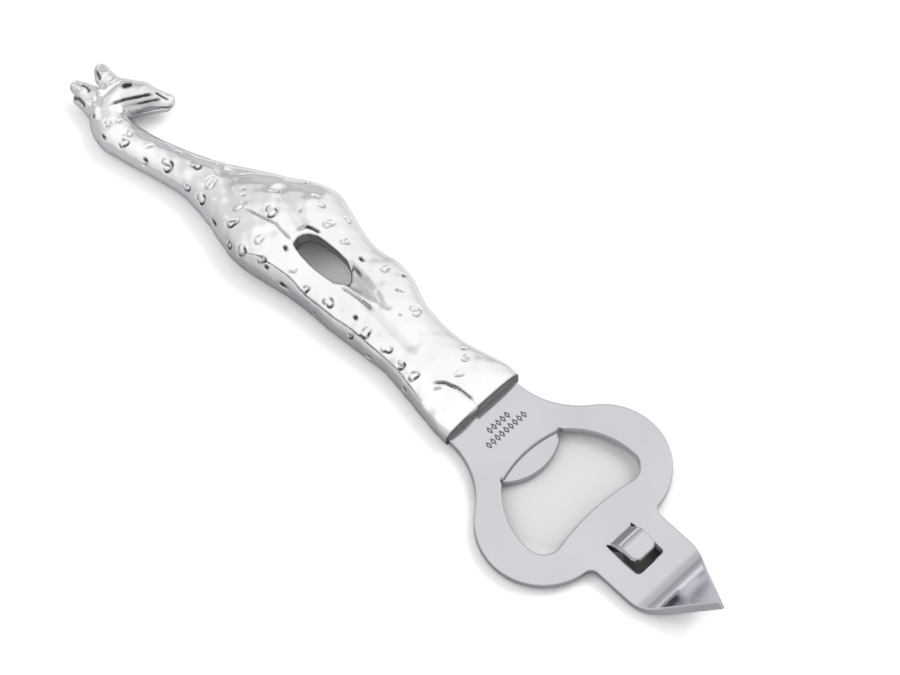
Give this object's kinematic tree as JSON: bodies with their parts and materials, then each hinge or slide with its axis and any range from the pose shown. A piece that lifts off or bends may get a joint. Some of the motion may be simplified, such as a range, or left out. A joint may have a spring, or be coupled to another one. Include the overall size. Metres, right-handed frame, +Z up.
{
  "type": "bottle opener",
  "caption": "Bottle and can opener: a cast giraffe lying along the grip, its head turned back, and a flat steel blade with a cap mouth, a rim hook and a bent piercing point.",
  "frame": {"origin": "middle of the bounding box, at the surface the opener lies on", "axes": "+X from the giraffe's ears to the piercing point, +Y across the grip to the side the muzzle points to, +Z up from the resting surface"},
  "size_m": [0.184, 0.0458, 0.0148],
  "materials": {
    "cast_metal": "polished",
    "stainless": "mirror polished",
    "adhesive": "matte"
  },
  "bodies": {
    "root": {"giraffe_handle": "cast_metal", "opener_blade": "stainless", "glue_bed": "adhesive"}
  },
  "joints": []
}
